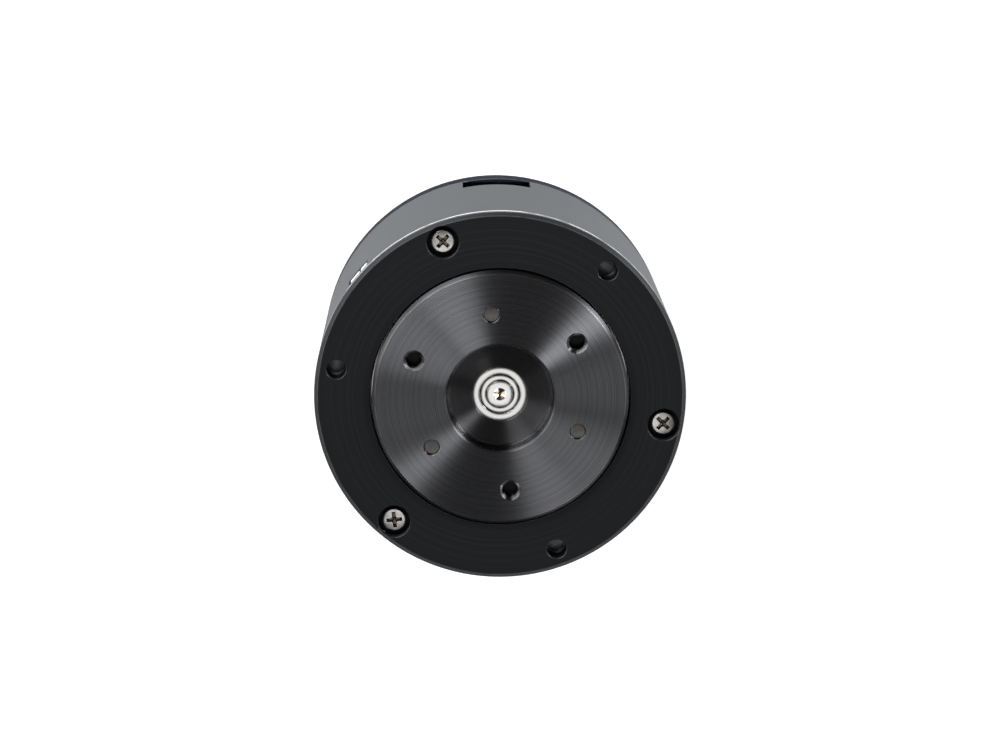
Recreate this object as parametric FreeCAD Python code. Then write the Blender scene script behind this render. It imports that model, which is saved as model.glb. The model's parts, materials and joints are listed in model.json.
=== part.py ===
import FreeCAD, Part
import math
import os

# Robot joint actuator: a brushless outrunner motor, its driver board and a one-stage planetary
# gearbox in one round housing. +Z is the output axis, and the rear cover stands on z = 0.
# All sizes are in millimetres. Radii run inwards from the body by named walls, and heights run
# down from the front face to the motor and up from the rear face to the motor.

# Body
body_d = 56.0                 # outside diameter of housing, front plate and rear cover
body_length = 46.0            # rear face to front face of the front plate
edge_chamfer = 0.55           # outer edge of the front plate
rim_chamfer = 0.3             # front and rear edges of the housing
front_wall = 5.0              # housing wall round the gearbox
motor_wall = 2.4              # housing wall round the motor
rear_wall = 1.8               # housing wall round the driver board

# Front plate
plate_edge = 1.6              # visible thickness at the outer edge
register_depth = 1.8          # how far the plate drops into the housing's front lip
lip_wall = 0.58               # housing lip around the register
plate_lip = 2.6               # plate thickness in front of the output bearing
bore_break = 0.15             # small chamfer at the plate's bore
seat_wall = 1.0               # plate wall round the output bearing
mount_edge = 3.0              # circle of the mounting holes, in from the outside
mount_count = 3
mount_start = 50.0            # angle of the first mounting hole, degrees
mount_hole_d = 3.0            # M3
mount_hole_depth = 4.0
hole_chamfer = 0.1
plate_screw_start = 110.0     # plate screws lie on the circle of the mounting holes
plate_screw_turns = (45.0, 8.0, 45.0)
counterbore_d = 4.8
head_sunk = 1.25              # how far the screw heads lie below the plate's face

# Screws (M2 pan heads in front, M2 countersunk heads elsewhere)
screw_d = 2.0
pan_head_d = 3.6
pan_head_h = 1.25
pan_edge_h = 0.8
pan_crown = 0.7               # width of the rounded border of a pan head
flat_head_d = 3.8
flat_sunk = 0.1
screw_bite = 6.0              # threaded length in metal
thread_run_out = 0.5          # thread is this much deeper than its screw
cross_length = 2.1            # cross recess in the heads
cross_width = 0.5
cross_depth = 0.7

# Output flange
output_shoulder = 1.8         # disc beyond the bearing's bore
output_proud = 1.0            # disc face in front of the plate's face
output_gap = 0.3              # radial gap between disc and plate
output_chamfer = 0.5
output_bolt_edge = 3.3        # circle of the output bolts, in from the bearing's bore
output_bolt_d = 3.0           # M3
output_bolt_depth = 4.0
output_bolt_start = 36.0
recess_d = 16.5               # recess at the centre of the disc
recess_foot_d = 15.6
recess_wall = 2.0             # height of the recess's steep wall
centre_sink = 3.5             # disc face to the face of the centre bearing
centre_lip = 0.8              # metal behind the centre bearing's outer race
pin_d = 2.4                   # planet pins
pin_sunk = 0.8                # pin ends below the disc face
pin_chamfer = 0.2

# Bearings
output_bearing_section = 4.5  # radial height, from bore to outside
output_bearing_w = 5.0
centre_bearing_bore = 4.0
centre_bearing_d = 8.0
centre_bearing_w = 3.0
rotor_bearing_d = 10.0
rotor_bearing_w = 4.0
outer_race_share = 0.28       # thickness of the races and shields, in parts of the section
inner_race_share = 0.42
shield_share = 0.12
shield_gap = 0.25             # between shield and inner race

# Gearbox
sun_teeth = 18
planet_teeth = 33
ring_teeth = sun_teeth + 2 * planet_teeth
planet_count = 3
planet_width = 6.0
tooth_play = 0.05             # each tooth is this much thinner at its pitch circle
pressure_angle = 20.0
planet_float = 0.4            # end play of the planets, on each side
ring_wall = 1.375             # ring gear metal outside its tooth roots
ring_ledge = 1.4              # housing ledge behind the ring gear
bush_wall = 1.2
carrier_plate_t = 2.0
carrier_edge = 1.0            # plate beyond the pillars
pillar_d = 6.4
pillar_screw_bite = 4.0
dowel_d = 1.6                 # dowels between ring gear and housing
dowel_length = 4.8
dowel_count = 3

# Motor
stator_section = 8.5          # radial height of the core, from its seat to its tooth faces
stator_seat_wall = 1.5
stator_teeth = 24
tooth_w = 2.0
shoe_t = 0.8
shoe_taper = 0.5
slot_opening = 1.2
stator_yoke = 2.6
coil_share = 0.93             # part of the space between the teeth that the coils fill
coil_clear = 0.3              # coil to yoke
coil_lining = 0.1             # coil to tooth
insulator_t = 0.8
winding_overhang = 1.2
air_gap = 0.4
magnet_count = 28
magnet_share = 0.82           # part of each pole that the magnet covers
magnet_t = 1.9
glue_gap = 0.02
flux_ring_t = 1.3
flux_overlap = 0.4            # flux ring beyond the magnets
rotor_gap = 0.5               # radial, between rotor and housing
bell_t = 1.4
bell_boss_wall = 1.0
vent_d = 6.4
vent_count = 6
shaft_d = 5.0
shaft_chamfer = 0.3
shaft_proud = 0.25            # shaft end in front of the centre bearing
nose_chamfer = 0.15
centre_drill_d = 1.9
centre_drill_depth = 1.3
tube_wall = 2.0               # motor base round the rotor bearings
tube_sink = 1.0               # tube end below the ends of the windings
bearing_inset = 0.2
race_lip = 0.8
spacer_t = 0.3
spacer_wall = 0.9

# Rear end
cover_h = 5.7
cover_floor = 2.0
cover_chamfer = 1.0
cover_spigot = 1.5
spigot_wall = 1.2
slot_w = 10.8                 # plug slot at the top of the housing's rear edge
slot_h = 7.6
slot_angle = 90.0
base_t = 1.8
base_clear = 0.5              # base behind the slot's edge
post_d = 5.2
clip_t = 1.0
clip_w = 2.0
clip_in_groove = 0.6
cover_screw_edge = 3.5        # cover screws, in from the board's edge
cover_screw_start = 30.0
cover_screw_count = 3

# Index mark on the housing's side
mark_angle = 140.0
mark_w = 4.4
mark_h = 4.8
mark_depth = 0.8
mark_sunk = 0.28
mark_gap = 0.25
mark_share = 0.4              # width of the narrow insert

# Driver board
board_t = 1.6
board_lift = 0.7              # board above the cover's rim
board_gap = 1.7               # board edge to housing
encoder_air = 0.7
encoder_d = 6.0
encoder_t = 2.5
chip_w = 4.0
chip_t = 0.9
switch_l = 5.0
switch_w = 4.0
switch_t = 1.0
switch_r = 13.0
switch_count = 6
switch_start = 75.0           # angles from the plug slot, degrees
switch_step = 42.0
controller_w = 7.0
controller_r = 10.5
capacitor_d = 4.0
capacitor_h = 1.6
capacitor_r = 10.0
capacitor_turns = (75.0, 140.0, 220.0, 285.0)
phase_pin_d = 1.4
phase_hole_d = 2.6
phase_start = 120.0           # angle from the plug slot to the middle lead, degrees
phase_spread = 12.0
connector_h = 5.2
connector_w = 10.0
connector_l = 8.0
connector_back = 4.1          # plug face, in from the board's edge
connector_wall = 0.7
connector_floor = 2.0
power_contact_d = 1.4
signal_contact_d = 0.8
contact_count = 4             # the outer two carry power
contact_pitch = 1.9
contact_sunk = 1.0

# Clearances
seat_gap = 0.01               # radial, between pieces that are pressed or glued together
spigot_gap = 0.03             # radial, between pieces that slide into the housing
run_gap = 0.05                # radial, planet bush on its pin
axial_gap = 0.6               # between turning and fixed faces
thread_gap = 0.02             # radial, screw in its thread
pass_gap = 0.1                # radial, screw through a plain hole
cut = 1.0                     # how far a cutting shape passes the face that it cuts

# Radii that follow from the sizes above
body_r = body_d / 2
register_r = body_r - lip_wall
mount_r = body_r - mount_edge
gearbox_r = body_r - front_wall
bearing_seat_r = gearbox_r - seat_wall
hub_r = bearing_seat_r - output_bearing_section
disc_r = hub_r + output_shoulder
output_bolt_r = hub_r - output_bolt_edge
gear_module = 2 * (gearbox_r - ring_wall) / (ring_teeth + 2.5)
sun_r = gear_module * sun_teeth / 2
planet_r = gear_module * planet_teeth / 2
ring_r = gear_module * ring_teeth / 2
planet_orbit = sun_r + planet_r
planet_start = output_bolt_start + 180.0 / planet_count
motor_r = body_r - motor_wall
rotor_r = motor_r - rotor_gap
flux_r = rotor_r - flux_ring_t
magnet_r = flux_r - magnet_t
stator_r = magnet_r - air_gap
seat_r = stator_r - stator_section
yoke_r = seat_r + stator_yoke
shaft_r = shaft_d / 2
rear_r = body_r - rear_wall
board_r = rear_r - board_gap
cover_screw_r = board_r - cover_screw_edge
connector_face = board_r - connector_back

# Heights, from the front face down to the motor
plate_z = body_length
face_z = plate_z + output_proud
seam_z = plate_z - plate_edge
register_z = seam_z - register_depth
head_seat_z = plate_z - head_sunk - pan_head_h
bearing_top_z = plate_z - plate_lip
bearing_z = bearing_top_z - output_bearing_w
hub_z = bearing_z - planet_float
planet_top_z = hub_z - planet_float
planet_z = planet_top_z - planet_width
carrier_top_z = planet_z - planet_float
carrier_z = carrier_top_z - carrier_plate_t
ring_z = planet_z - axial_gap
ledge_z = ring_z - ring_ledge
bell_top_z = carrier_z - axial_gap
bell_z = bell_top_z - bell_t
winding_top_z = bell_z - axial_gap
core_top_z = winding_top_z - winding_overhang
tube_top_z = winding_top_z - tube_sink
centre_top_z = face_z - centre_sink
centre_z = centre_top_z - centre_bearing_w

# Heights, from the rear face up to the motor
board_z = cover_h + board_lift
board_top_z = board_z + board_t
slot_top_z = cover_h + slot_h
base_z = slot_top_z + base_clear
base_top_z = base_z + base_t
core_z = base_top_z + axial_gap + winding_overhang
winding_z = core_z - winding_overhang
encoder_z = board_top_z + chip_t + encoder_air
shaft_end_z = encoder_z + encoder_t

V = FreeCAD.Vector
UP = V(0, 0, 1)


# ---------------------------------------------------------------- helpers

def rod(radius, z0, z1, x=0.0, y=0.0):
    """Upright cylinder from z0 to z1."""
    return Part.makeCylinder(radius, z1 - z0, V(x, y, z0), UP)


def tube(outer, inner, z0, z1):
    return rod(outer, z0, z1).cut(rod(inner, z0 - cut, z1 + cut))


def polar(radius, degrees):
    angle = math.radians(degrees)
    return radius * math.cos(angle), radius * math.sin(angle)


def turned(points):
    """Body of revolution about Z from a closed outline of (radius, z) points."""
    corners = [V(r, 0, z) for r, z in points]
    wire = Part.makePolygon(corners + corners[:1])
    return Part.Face(wire).revolve(V(0, 0, 0), UP, 360)


def prism(points, z0, z1):
    """Upright prism on a closed outline of (x, y) points."""
    corners = [V(x, y, z0) for x, y in points]
    wire = Part.makePolygon(corners + corners[:1])
    return Part.Face(wire).extrude(V(0, 0, z1 - z0))


def wedge(low, high, half, z0, z1):
    """Block between two radii, from -half to +half radians about angle 0, with flat sides."""
    cos_h, sin_h = math.cos(half), math.sin(half)
    points = [(low * cos_h, -low * sin_h), (high * cos_h, -high * sin_h),
              (high * cos_h, high * sin_h), (low * cos_h, low * sin_h)]
    return prism(points, z0, z1)


def block(x0, x1, y0, y1, z0, z1):
    return Part.makeBox(x1 - x0, y1 - y0, z1 - z0, V(x0, y0, z0))


def spun(shape, degrees):
    copy = shape.copy()
    copy.rotate(V(0, 0, 0), UP, degrees)
    return copy


def ring_of(shape, count, start=0.0, radius=0.0):
    """Copies of a shape, set out on a circle and spaced evenly round Z."""
    moved = shape.copy()
    moved.translate(V(radius, 0, 0))
    return [spun(moved, start + 360.0 * i / count) for i in range(count)]


def export(name, shape):
    solids = shape if isinstance(shape, list) else [shape]
    whole = solids[0] if len(solids) == 1 else Part.makeCompound(solids)
    whole.exportStep("parts/" + name + ".step")


def involute(angle):
    return math.tan(angle) - angle


def gear_outline(teeth, low_r, high_r, play, phase, steps=1):
    """Outline of an outside gear whose first tooth is centred on the angle phase, in degrees.

    Each flank has that many straight steps. A positive play thins each tooth and a negative
    one widens it.
    """
    pitch_r = gear_module * teeth / 2
    press = math.radians(pressure_angle)
    base_r = pitch_r * math.cos(press)
    half = (math.pi * gear_module / 2 - play) / (2 * pitch_r) + involute(press)
    radii = [low_r + (high_r - low_r) * k / steps for k in range(steps + 1)]

    def half_tooth(r):
        return half - involute(math.acos(min(1.0, base_r / r)))

    points = []
    for i in range(teeth):
        middle = math.radians(phase) + 2 * math.pi * i / teeth
        points += [(r, middle - half_tooth(r)) for r in radii]
        points += [(r, middle + half_tooth(r)) for r in reversed(radii)]
    return [(r * math.cos(a), r * math.sin(a)) for r, a in points]


# ---------------------------------------------------------------- screws, holes, bearings

def cross_recess(z_top, direction):
    """Cross recess in a screw head whose top is at z_top; direction is +1 or -1."""
    z0, z1 = sorted((z_top + cut * direction, z_top - cross_depth * direction))
    half_l, half_w = cross_length / 2, cross_width / 2
    arm = block(-half_l, half_l, -half_w, half_w, z0, z1)
    return arm.fuse(spun(arm, 90))


def pan_screw(seat_z, length):
    """Pan-head screw that points down from its seat."""
    r = pan_head_d / 2
    top = seat_z + pan_head_h
    screw = turned([
        (0, seat_z - length), (screw_d / 2, seat_z - length), (screw_d / 2, seat_z), (r, seat_z),
        (r, seat_z + pan_edge_h), (r - pan_crown / 2, top - pan_crown / 5), (r - pan_crown, top),
        (0, top)])
    return screw.cut(cross_recess(top, 1))


def flat_screw(face, length):
    """Countersunk screw that points up from a rear face."""
    r = flat_head_d / 2
    shank_r = screw_d / 2
    head = face + flat_sunk
    body = turned([
        (0, head), (r - flat_sunk, head), (shank_r, face + r - shank_r),
        (shank_r, face + length), (0, face + length)])
    return body.cut(cross_recess(head, -1))


def flat_screw_hole(face, depth):
    """Clearance hole with the countersink for flat_screw."""
    r = flat_head_d / 2
    hole_r = screw_d / 2 + pass_gap
    return turned([
        (0, face - cut), (r, face - cut), (r, face), (hole_r, face + r - hole_r + thread_gap),
        (hole_r, face + depth), (0, face + depth)])


def threaded_hole(hole_d, face, depth):
    """Blind hole with a small chamfer at the face."""
    r = hole_d / 2
    return turned([
        (0, face - depth), (r, face - depth), (r, face - hole_chamfer),
        (r + hole_chamfer + cut, face + cut), (0, face + cut)])


def ball_bearing(bore, outside, width, z0):
    """Shielded bearing: the outer race with its two shields, and the inner race."""
    section = (outside - bore) / 2
    outer_r = outside / 2 - seat_gap
    race_r = outside / 2 - section * outer_race_share
    inner_r = bore / 2 + section * inner_race_share
    edge_r = inner_r + shield_gap
    shield = section * shield_share
    z1 = z0 + width
    outer = turned([
        (outer_r, z0), (outer_r, z1), (edge_r, z1), (edge_r, z1 - shield), (race_r, z1 - shield),
        (race_r, z0 + shield), (edge_r, z0 + shield), (edge_r, z0)])
    return outer, tube(inner_r, bore / 2 + seat_gap, z0, z1)


# ---------------------------------------------------------------- housing and plates

def mount_holes():
    hole = threaded_hole(mount_hole_d, plate_z, mount_hole_depth)
    return ring_of(hole, mount_count, mount_start, mount_r)


def dowel_places(radius, z0, z1):
    return ring_of(rod(radius, z0, z1), dowel_count, slot_angle, gearbox_r)


def slot_cutter(inner, z0, z1):
    """Cutter of the plug slot's width, from a radius outwards."""
    half = slot_w / 2
    return spun(block(inner, body_r + cut, -half, half, z0, z1), slot_angle)


def main_housing():
    shell = turned([
        (body_r - rim_chamfer, cover_h), (body_r, cover_h + rim_chamfer),
        (body_r, seam_z - rim_chamfer), (body_r - rim_chamfer, seam_z),
        (register_r, seam_z), (register_r, register_z), (gearbox_r, register_z),
        (gearbox_r, ring_z), (gearbox_r - ring_ledge, ring_z), (gearbox_r - ring_ledge, ledge_z),
        (motor_r, ledge_z), (motor_r, base_top_z), (rear_r, base_top_z), (rear_r, cover_h)])
    groove = tube(rear_r + clip_in_groove, rear_r - cut, base_z - clip_t, base_z)
    slot = slot_cutter(board_r, cover_h - cut, slot_top_z)
    half = mark_w / 2
    mark_top = register_z - rim_chamfer
    mark = spun(block(body_r - mark_depth, body_r + cut, -half, half, mark_top - mark_h, mark_top),
                mark_angle)
    thread = rod(screw_d / 2 + thread_gap, register_z - screw_bite, register_z + cut)
    threads = ring_of(thread, mount_count, plate_screw_start, mount_r)
    dowels = dowel_places(dowel_d / 2 + seat_gap, ring_z - ring_ledge / 2, ring_z + dowel_length)
    return shell.cut([groove, slot, mark] + threads + mount_holes() + dowels)


def index_mark():
    """Two small plastic inserts in the side pocket."""
    top = register_z - rim_chamfer - mark_gap
    bottom = register_z - rim_chamfer - mark_h + mark_gap
    inner = body_r - mark_depth + seat_gap
    outer = body_r - mark_sunk
    width = mark_w - 3 * mark_gap
    y0 = -mark_w / 2 + mark_gap
    y1 = y0 + width * mark_share
    first = block(inner, outer, y0, y1, bottom, top)
    second = block(inner, outer, y1 + mark_gap, mark_w / 2 - mark_gap, bottom, top)
    return [spun(first, mark_angle), spun(second, mark_angle)]


def front_plate():
    bore_r = disc_r + output_gap
    shape = turned([
        (bore_r + bore_break, plate_z), (body_r - edge_chamfer, plate_z),
        (body_r, plate_z - edge_chamfer), (body_r, seam_z), (register_r - seat_gap, seam_z),
        (register_r - seat_gap, register_z), (gearbox_r - seat_gap, register_z),
        (gearbox_r - seat_gap, bearing_z), (bearing_seat_r, bearing_z),
        (bearing_seat_r, bearing_top_z), (bore_r, bearing_top_z), (bore_r, plate_z - bore_break)])
    screw_hole = rod(screw_d / 2 + pass_gap, bearing_z - cut, plate_z)
    counterbore = rod(counterbore_d / 2, head_seat_z, plate_z + cut)
    holes = ring_of(screw_hole.fuse(counterbore), mount_count, plate_screw_start, mount_r)
    return shape.cut(holes + mount_holes())


def front_plate_screws():
    length = head_seat_z - register_z + screw_bite - thread_run_out
    screws = []
    for i, turn in enumerate(plate_screw_turns):
        screw = spun(pan_screw(head_seat_z, length), turn)
        screw.translate(V(mount_r, 0, 0))
        screws.append(spun(screw, plate_screw_start + 360.0 * i / mount_count))
    return screws


def cover_screw_places(shape):
    return ring_of(shape, cover_screw_count, cover_screw_start, cover_screw_r)


def rear_cover():
    spigot_r = rear_r - spigot_gap
    inner_r = spigot_r - spigot_wall
    shell = turned([
        (0, 0), (body_r - cover_chamfer, 0), (body_r, cover_chamfer), (body_r, cover_h),
        (spigot_r, cover_h), (spigot_r, cover_h + cover_spigot), (inner_r, cover_h + cover_spigot),
        (inner_r, cover_floor), (0, cover_floor)])
    notch = slot_cutter(board_r, cover_h, slot_top_z)
    bosses = cover_screw_places(rod(post_d / 2, cover_floor / 2, board_z))
    holes = cover_screw_places(flat_screw_hole(0, board_z + cut))
    return shell.cut(notch).fuse(bosses).cut(holes)


def rear_cover_screws():
    return cover_screw_places(flat_screw(0, base_z - cut))


# ---------------------------------------------------------------- gearbox

def ring_gear():
    root_r = ring_r + 1.25 * gear_module
    tip_r = ring_r - gear_module
    space = gear_outline(ring_teeth, tip_r, root_r, -tooth_play, planet_start)
    blank = rod(gearbox_r - seat_gap, ring_z, bearing_z)
    gear = blank.cut(prism(space, ring_z - cut, bearing_z + cut))
    return gear.cut(dowel_places(dowel_d / 2 + seat_gap, ring_z - cut, ring_z + dowel_length))


def ring_gear_dowels():
    bottom = ring_z - ring_ledge / 2
    return dowel_places(dowel_d / 2, bottom, bottom + dowel_length)


def sun_gear():
    outline = gear_outline(sun_teeth, sun_r - 1.25 * gear_module, sun_r + gear_module, tooth_play,
                           planet_start, 2)
    gear = prism(outline, planet_z - planet_float, planet_top_z + planet_float / 2)
    return gear.cut(rod(shaft_r + seat_gap, bell_z, face_z))


def planet_gear(index):
    """One planet, turned so that a tooth space faces the sun."""
    angle = planet_start + 360.0 * index / planet_count
    x, y = polar(planet_orbit, angle)
    phase = angle + 180.0 + 180.0 / planet_teeth
    outline = gear_outline(planet_teeth, planet_r - 1.25 * gear_module, planet_r + gear_module,
                           tooth_play, phase)
    bore_r = pin_d / 2 + run_gap + bush_wall + seat_gap
    gear = prism(outline, planet_z, planet_top_z).cut(rod(bore_r, planet_z - cut, planet_top_z + cut))
    gear.translate(V(x, y, 0))
    return gear


def planet_bush(index):
    """Bush in the planet's bore; it is a little longer than the gear and takes its end thrust."""
    x, y = polar(planet_orbit, planet_start + 360.0 * index / planet_count)
    inner = pin_d / 2 + run_gap
    proud = planet_float / 2
    bush = tube(inner + bush_wall, inner, planet_z - proud, planet_top_z + proud)
    bush.translate(V(x, y, 0))
    return bush


def planet_places(shape):
    return ring_of(shape, planet_count, planet_start, planet_orbit)


def planet_pins():
    r = pin_d / 2
    top = face_z - pin_sunk
    pin = turned([
        (0, carrier_z + pin_chamfer), (r, carrier_z + pin_chamfer), (r, top - pin_chamfer),
        (r - pin_chamfer, top), (0, top)])
    return planet_places(pin)


def output_flange():
    """Output disc, bearing hub and the three pillars that hold the rear carrier plate."""
    centre_r = centre_bearing_d / 2
    shape = turned([
        (recess_d / 2, face_z), (disc_r - output_chamfer, face_z), (disc_r, face_z - output_chamfer),
        (disc_r, bearing_top_z), (hub_r, bearing_top_z), (hub_r, hub_z),
        (centre_r - centre_lip, hub_z), (centre_r - centre_lip, centre_z), (centre_r, centre_z),
        (centre_r, centre_top_z), (recess_foot_d / 2, face_z - recess_wall)])
    pillar = rod(pillar_d / 2, carrier_top_z, bearing_z)
    shape = shape.fuse(ring_of(pillar, planet_count, output_bolt_start, output_bolt_r))
    bolt = threaded_hole(output_bolt_d, face_z, output_bolt_depth)
    thread = rod(screw_d / 2 + thread_gap, carrier_top_z - cut,
                 carrier_top_z + pillar_screw_bite + thread_run_out)
    holes = ring_of(bolt.fuse(thread), planet_count, output_bolt_start, output_bolt_r)
    return shape.cut(holes + planet_places(rod(pin_d / 2 + seat_gap, hub_z - cut, face_z + cut)))


def carrier_plate():
    outer = output_bolt_r + pillar_d / 2 + carrier_edge
    plate = tube(outer, sun_r + gear_module + axial_gap, carrier_z, carrier_top_z)
    pin_holes = planet_places(rod(pin_d / 2 + seat_gap, carrier_z - cut, carrier_top_z + cut))
    screw_hole = flat_screw_hole(carrier_z, carrier_plate_t + cut)
    return plate.cut(pin_holes + ring_of(screw_hole, planet_count, output_bolt_start, output_bolt_r))


def carrier_screws():
    screw = flat_screw(carrier_z, carrier_plate_t + pillar_screw_bite)
    return ring_of(screw, planet_count, output_bolt_start, output_bolt_r)


# ---------------------------------------------------------------- motor

def rotor_shaft():
    nose_r = centre_bearing_bore / 2
    drill_r = centre_drill_d / 2
    top = centre_top_z + shaft_proud
    return turned([
        (0, shaft_end_z), (shaft_r - shaft_chamfer, shaft_end_z),
        (shaft_r, shaft_end_z + shaft_chamfer), (shaft_r, centre_z), (nose_r, centre_z),
        (nose_r, top - nose_chamfer), (nose_r - nose_chamfer, top), (drill_r, top),
        (0, top - centre_drill_depth)])


def rotor_bell():
    """Closed front end of the rotor, with a boss on the shaft and a ring of vents."""
    boss_z = tube_top_z + spacer_t
    bore_r = shaft_r + seat_gap
    disc = turned([
        (bore_r, boss_z), (shaft_r + bell_boss_wall, boss_z), (shaft_r + bell_boss_wall, bell_z),
        (rotor_r, bell_z), (rotor_r, bell_top_z), (bore_r, bell_top_z)])
    vent = rod(vent_d / 2, bell_z - cut, bell_top_z + cut)
    return disc.cut(ring_of(vent, vent_count, 0.0, (shaft_r + rotor_r) / 2))


def flux_ring():
    return tube(rotor_r, flux_r + seat_gap, core_z - flux_overlap, bell_z)


def rotor_magnets():
    half = math.radians(180.0 / magnet_count * magnet_share)
    magnet = wedge(magnet_r / math.cos(half), flux_r - glue_gap, half, core_z, core_top_z)
    return ring_of(magnet, magnet_count)


def encoder_magnet():
    return rod(encoder_d / 2, encoder_z, shaft_end_z)


def bearing_spacer():
    return tube(shaft_r + spacer_wall, shaft_r + seat_gap, tube_top_z, tube_top_z + spacer_t)


def stator_core():
    """Laminated core: an inner yoke and T-shaped teeth."""
    step = 2 * math.pi / stator_teeth
    side = tooth_w / 2
    foot = math.sqrt(yoke_r ** 2 - side ** 2)
    shoe_r = stator_r - shoe_t
    shoe_half = step / 2 - slot_opening / 2 / stator_r
    cos_s, sin_s = math.cos(shoe_half), math.sin(shoe_half)
    right = [(foot, -side), (shoe_r - shoe_taper, -side), (shoe_r * cos_s, -shoe_r * sin_s),
             (stator_r * cos_s, -stator_r * sin_s)]
    left = [(x, -y) for x, y in reversed(right)]
    points = []
    for i in range(stator_teeth):
        cos_m, sin_m = math.cos(step * i), math.sin(step * i)
        points += [(x * cos_m - y * sin_m, x * sin_m + y * cos_m) for x, y in right + left]
    core = prism(points, core_z, core_top_z)
    return core.cut(rod(seat_r + seat_gap, core_z - cut, core_top_z + cut))


def stator_windings():
    """One coil round each tooth."""
    low = yoke_r + coil_clear
    high = stator_r - shoe_t - shoe_taper - coil_lining
    coil = wedge(low, high, math.pi / stator_teeth * coil_share, winding_z, winding_top_z)
    side = tooth_w / 2 + coil_lining
    tooth = block(low - cut, high + cut, -side, side, core_z - coil_lining,
                  core_top_z + coil_lining)
    return ring_of(coil.cut(tooth), stator_teeth)


def stator_insulators():
    """Moulded end caps on the yoke, with one flat to each tooth."""
    corners = [polar(yoke_r, 360.0 * (i + 0.5) / stator_teeth) for i in range(stator_teeth)]
    caps = []
    for z in (core_z - insulator_t, core_top_z):
        bore = rod(seat_r + seat_gap, z - cut, z + insulator_t + cut)
        caps.append(prism(corners, z, z + insulator_t).cut(bore))
    return caps


def motor_base():
    """Bulkhead with the bearing tube, the stator seat and the posts for board and cover."""
    bore_r = rotor_bearing_d / 2
    tube_r = bore_r + tube_wall
    rim_r = rear_r - spigot_gap
    shelf_z = core_z - insulator_t
    low_z = base_z + bearing_inset + rotor_bearing_w
    high_z = tube_top_z - rotor_bearing_w
    shape = turned([
        (bore_r, base_z), (rim_r, base_z), (rim_r, base_top_z), (seat_r + stator_seat_wall, base_top_z),
        (seat_r + stator_seat_wall, shelf_z), (seat_r, shelf_z), (seat_r, core_top_z),
        (seat_r - stator_seat_wall, core_top_z), (seat_r - stator_seat_wall, base_top_z),
        (tube_r, base_top_z), (tube_r, tube_top_z), (bore_r, tube_top_z), (bore_r, high_z),
        (bore_r - race_lip, high_z), (bore_r - race_lip, low_z), (bore_r, low_z)])
    posts = cover_screw_places(rod(post_d / 2, board_top_z, base_z + base_t / 2))
    threads = cover_screw_places(rod(screw_d / 2 + thread_gap, board_z, base_z - thread_run_out))
    holes = phase_places(rod(phase_hole_d / 2, base_z - cut, base_top_z + cut))
    return shape.fuse(posts).cut(threads + holes)


def phase_places(shape):
    """Three leads side by side under the windings, away from the plug slot."""
    moved = shape.copy()
    moved.translate(V((yoke_r + stator_r) / 2, 0, 0))
    middle = slot_angle + phase_start
    return [spun(moved, middle + phase_spread * i) for i in (-1, 0, 1)]


def phase_pins():
    return phase_places(rod(phase_pin_d / 2, board_top_z, winding_z))


def base_clip():
    """Inside retaining ring behind the motor base, open at the plug slot."""
    outer = rear_r + clip_in_groove - spigot_gap
    ring = tube(outer, outer - clip_w, base_z - clip_t, base_z - glue_gap)
    half = slot_w / 2 + clip_w / 2
    opening = block(board_r - clip_w, body_r, -half, half, base_z - clip_t - cut, base_z + cut)
    return ring.cut(spun(opening, slot_angle))


# ---------------------------------------------------------------- driver board

def driver_board():
    board = rod(board_r, board_z, board_top_z)
    notch = slot_cutter(connector_face, board_z - cut, board_top_z + cut)
    holes = cover_screw_places(rod(screw_d / 2 + pass_gap, board_z - cut, board_top_z + cut))
    return board.cut([notch] + holes)


def board_parts():
    """Power switches on the motor side; controller and capacitors on the cover side."""
    half = switch_l / 2
    switch = block(switch_r - half, switch_r + half, -switch_w / 2, switch_w / 2, board_top_z,
                   board_top_z + switch_t)
    pieces = [spun(switch, slot_angle + switch_start + switch_step * i)
              for i in range(switch_count)]
    half = controller_w / 2
    controller = block(controller_r - half, controller_r + half, -half, half, board_z - switch_t,
                       board_z)
    pieces.append(spun(controller, slot_angle + 180.0))
    for turn in capacitor_turns:
        x, y = polar(capacitor_r, slot_angle + turn)
        pieces.append(rod(capacitor_d / 2, board_z - capacitor_h, board_z, x, y))
    return pieces


def encoder_chip():
    half = chip_w / 2
    return block(-half, half, -half, half, board_top_z, board_top_z + chip_t)


def power_connector():
    z0, z1 = board_top_z, board_top_z + connector_h
    x0, x1 = connector_face - connector_l, connector_face
    half = connector_w / 2
    wall = connector_wall
    body = block(x0, x1, -half, half, z0, z1)
    cavity = block(x0 + connector_floor, x1 + cut, -half + wall, half - wall, z0 + wall, z1 - wall)
    return spun(body.cut(cavity), slot_angle)


def connector_contacts():
    """Two power contacts outside and two signal contacts between them."""
    floor = connector_face - connector_l + connector_floor
    length = connector_l - connector_floor - contact_sunk
    middle = board_top_z + connector_h / 2
    pieces = []
    for i in range(contact_count):
        size = power_contact_d if i in (0, contact_count - 1) else signal_contact_d
        start = V(floor, (i - (contact_count - 1) / 2) * contact_pitch, middle)
        pin = Part.makeCylinder(size / 2, length, start, V(1, 0, 0))
        pieces.append(spun(pin, slot_angle))
    return pieces


# ---------------------------------------------------------------- export

def export_bearings():
    outer, inner = ball_bearing(2 * hub_r, 2 * bearing_seat_r, output_bearing_w, bearing_z)
    export("output_bearing_outer", outer)
    export("output_bearing_inner", inner)
    outer, inner = ball_bearing(centre_bearing_bore, centre_bearing_d, centre_bearing_w, centre_z)
    export("centre_bearing_outer", outer)
    export("centre_bearing_inner", inner)
    places = (base_z + bearing_inset, tube_top_z - rotor_bearing_w)
    pairs = [ball_bearing(shaft_d, rotor_bearing_d, rotor_bearing_w, z) for z in places]
    export("rotor_bearing_outer", [outer for outer, inner in pairs])
    export("rotor_bearing_inner", [inner for outer, inner in pairs])


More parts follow.
